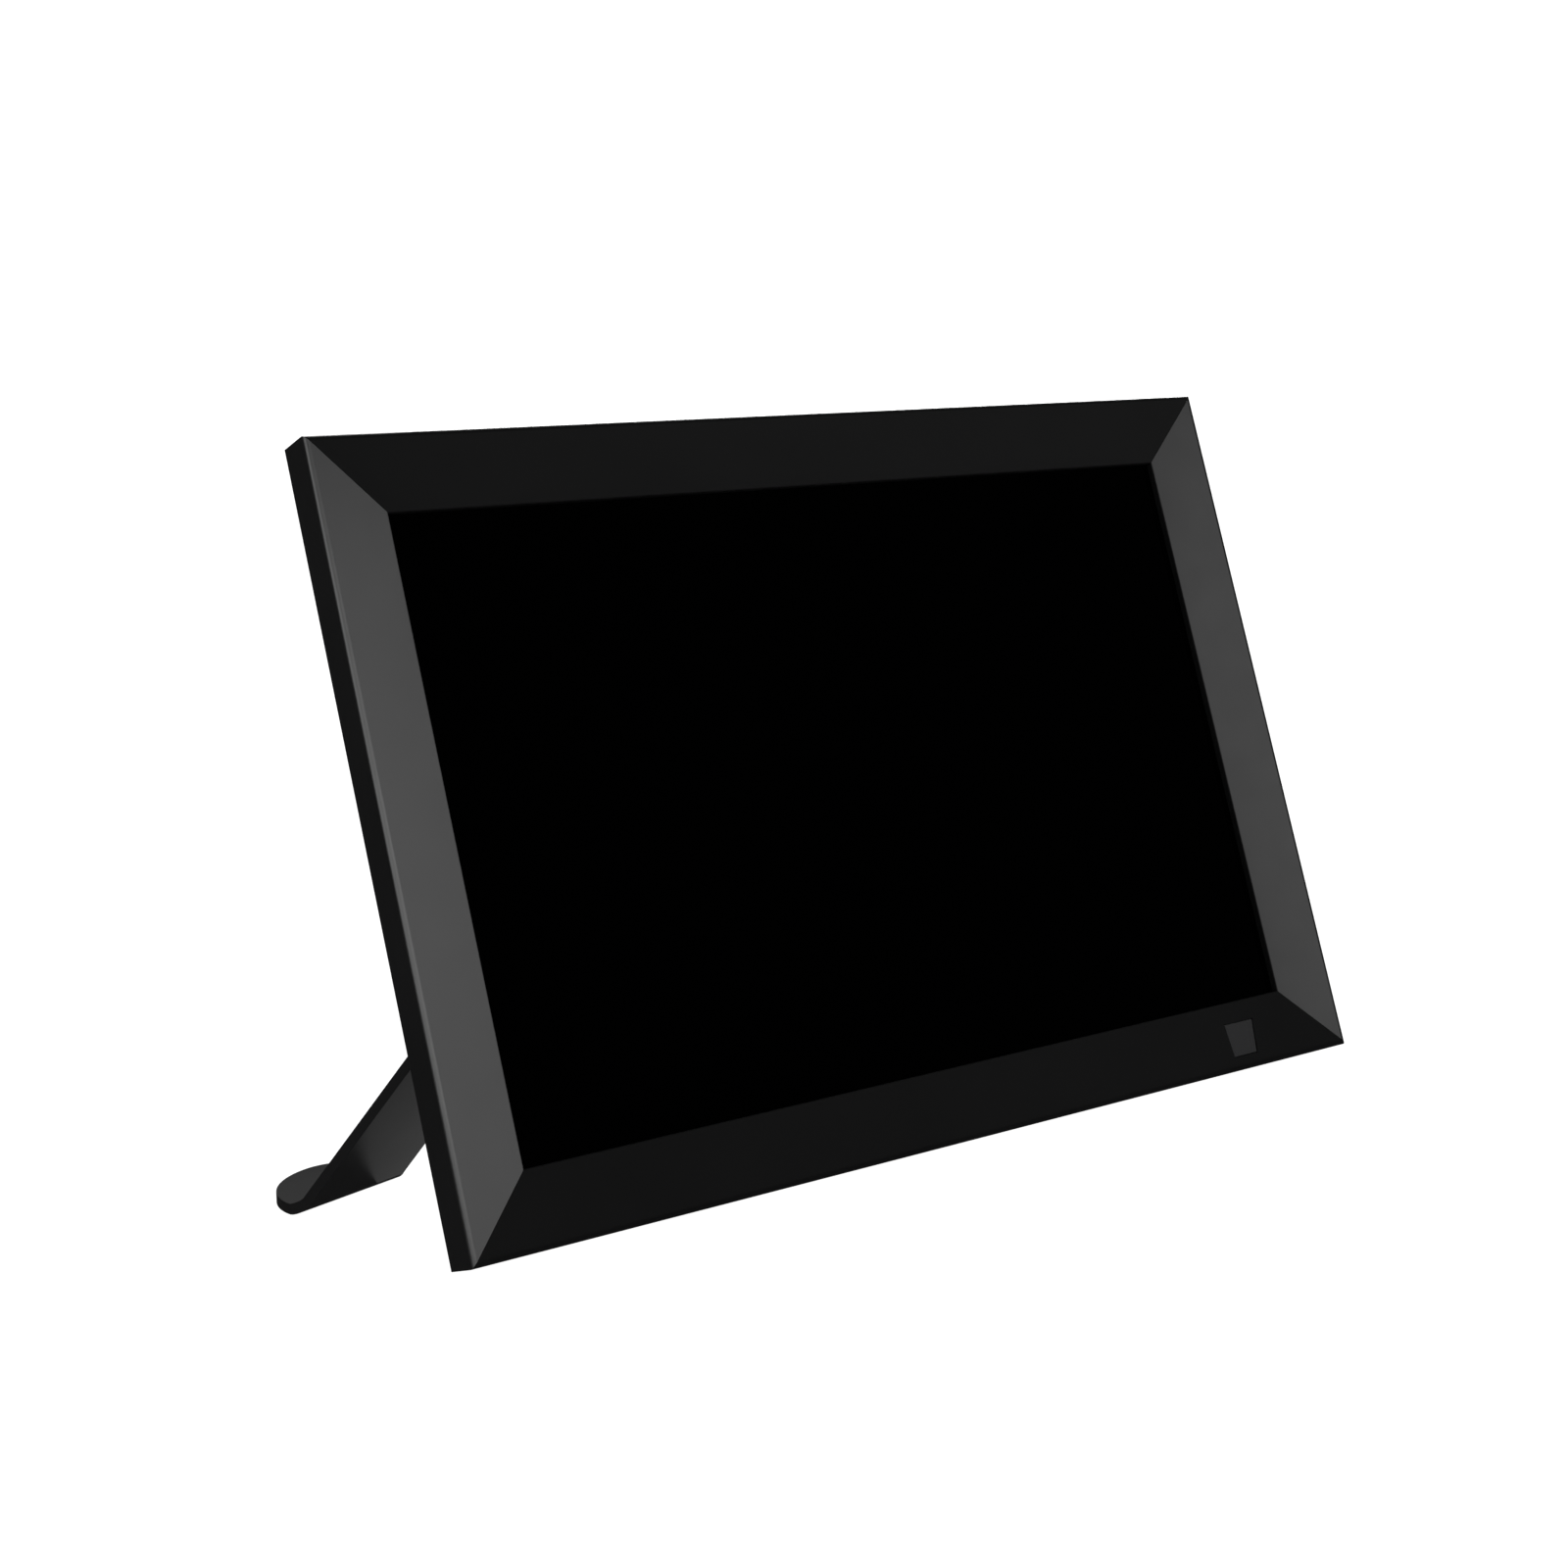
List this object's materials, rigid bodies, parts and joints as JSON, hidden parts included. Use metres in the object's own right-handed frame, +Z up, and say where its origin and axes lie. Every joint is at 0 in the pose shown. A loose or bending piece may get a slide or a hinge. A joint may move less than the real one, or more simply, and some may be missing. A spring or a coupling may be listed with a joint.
{
  "type": "digital photo frame",
  "caption": "Black digital photo frame with a wide sloped rim round a landscape screen, a slim rear housing and splayed fold-out legs.",
  "frame": {"origin": "on the table, under the centre of the whole object's box", "axes": "+X to the viewer's right along the screen's long side, +Y from the screen to the back, +Z up"},
  "size_m": [0.2852, 0.0786, 0.1684],
  "materials": {
    "rim_plastic": "semi-gloss black moulded plastic",
    "cover_plastic": "fine-textured matt black moulded plastic",
    "leg_plastic": "satin black moulded plastic",
    "sensor_lens": "dark smoked infrared window",
    "screen_glass": "black-backed cover glass over a switched-off display",
    "lcd": "dark polariser film",
    "diffuser": "white diffuser and reflector film",
    "foam": "closed-cell foam",
    "steel": "tinned and bare steel",
    "screw_steel": "black-plated steel",
    "circuit_board": "green solder mask",
    "chip": "moulded epoxy",
    "dark_fitting": "glass-filled black nylon",
    "polyimide": "amber film",
    "wire": "thin vinyl insulation",
    "rubber": "moulded black rubber"
  },
  "bodies": {
    "chassis": {"front_bezel": "rim_plastic", "sensor_window": "sensor_lens", "cover_glass": "screen_glass", "display_gasket": "foam", "lcd_panel": "lcd", "backlight_unit": "diffuser", "panel_tray": "steel", "foam_strip_left": "foam", "foam_strip_right": "foam", "foam_strip_top": "foam", "foam_strip_bottom": "foam", "main_board": "circuit_board", "board_screw_1": "steel", "board_screw_2": "steel", "board_screw_3": "steel", "board_screw_4": "steel", "shield_can": "steel", "memory_chip": "chip", "flash_chip": "chip", "wifi_module": "steel", "power_inductor": "chip", "capacitor_1": "dark_fitting", "capacitor_2": "dark_fitting", "tact_switch": "dark_fitting", "dc_jack": "dark_fitting", "usb_port": "steel", "card_slot": "steel", "display_flex": "polyimide", "speaker_left": "dark_fitting", "speaker_right": "dark_fitting", "speaker_lead_left": "wire", "speaker_lead_right": "wire", "wifi_antenna": "polyimide", "antenna_lead": "wire", "sensor_board": "circuit_board", "sensor_element": "chip", "sensor_lead": "wire", "rear_cover": "cover_plastic", "cover_screw_1": "screw_steel", "cover_screw_2": "screw_steel", "cover_screw_3": "screw_steel", "cover_screw_4": "screw_steel", "cover_screw_5": "screw_steel", "cover_screw_6": "screw_steel", "rest_foot_left": "rubber", "rest_foot_right": "rubber", "hinge_pin_left": "steel", "hinge_pin_right": "steel"},
    "left_leg": {"leg_left": "leg_plastic", "leg_pad_left": "rubber"},
    "right_leg": {"leg_right": "leg_plastic", "leg_pad_right": "rubber"},
    "button": {"power_button": "leg_plastic"}
  },
  "joints": [
    {"name": "left_leg_fold", "type": "hinge", "parent": "chassis", "child": "left_leg", "pos_m": [-0.122, -0.00356, 0.04124], "axis": [0.9659, 0.0954, 0.2406], "range_deg": [-56, 0]},
    {"name": "right_leg_fold", "type": "hinge", "parent": "chassis", "child": "right_leg", "pos_m": [0.122, -0.00356, 0.04124], "axis": [0.9659, -0.0954, -0.2406], "range_deg": [-56, 0]},
    {"name": "power_button_press", "type": "slide", "parent": "chassis", "child": "button", "axis": [0, -0.9296, 0.3686], "range_m": [0, 0.0006], "stiffness_N_per_m": 600, "springref_m": -0.001}
  ]
}
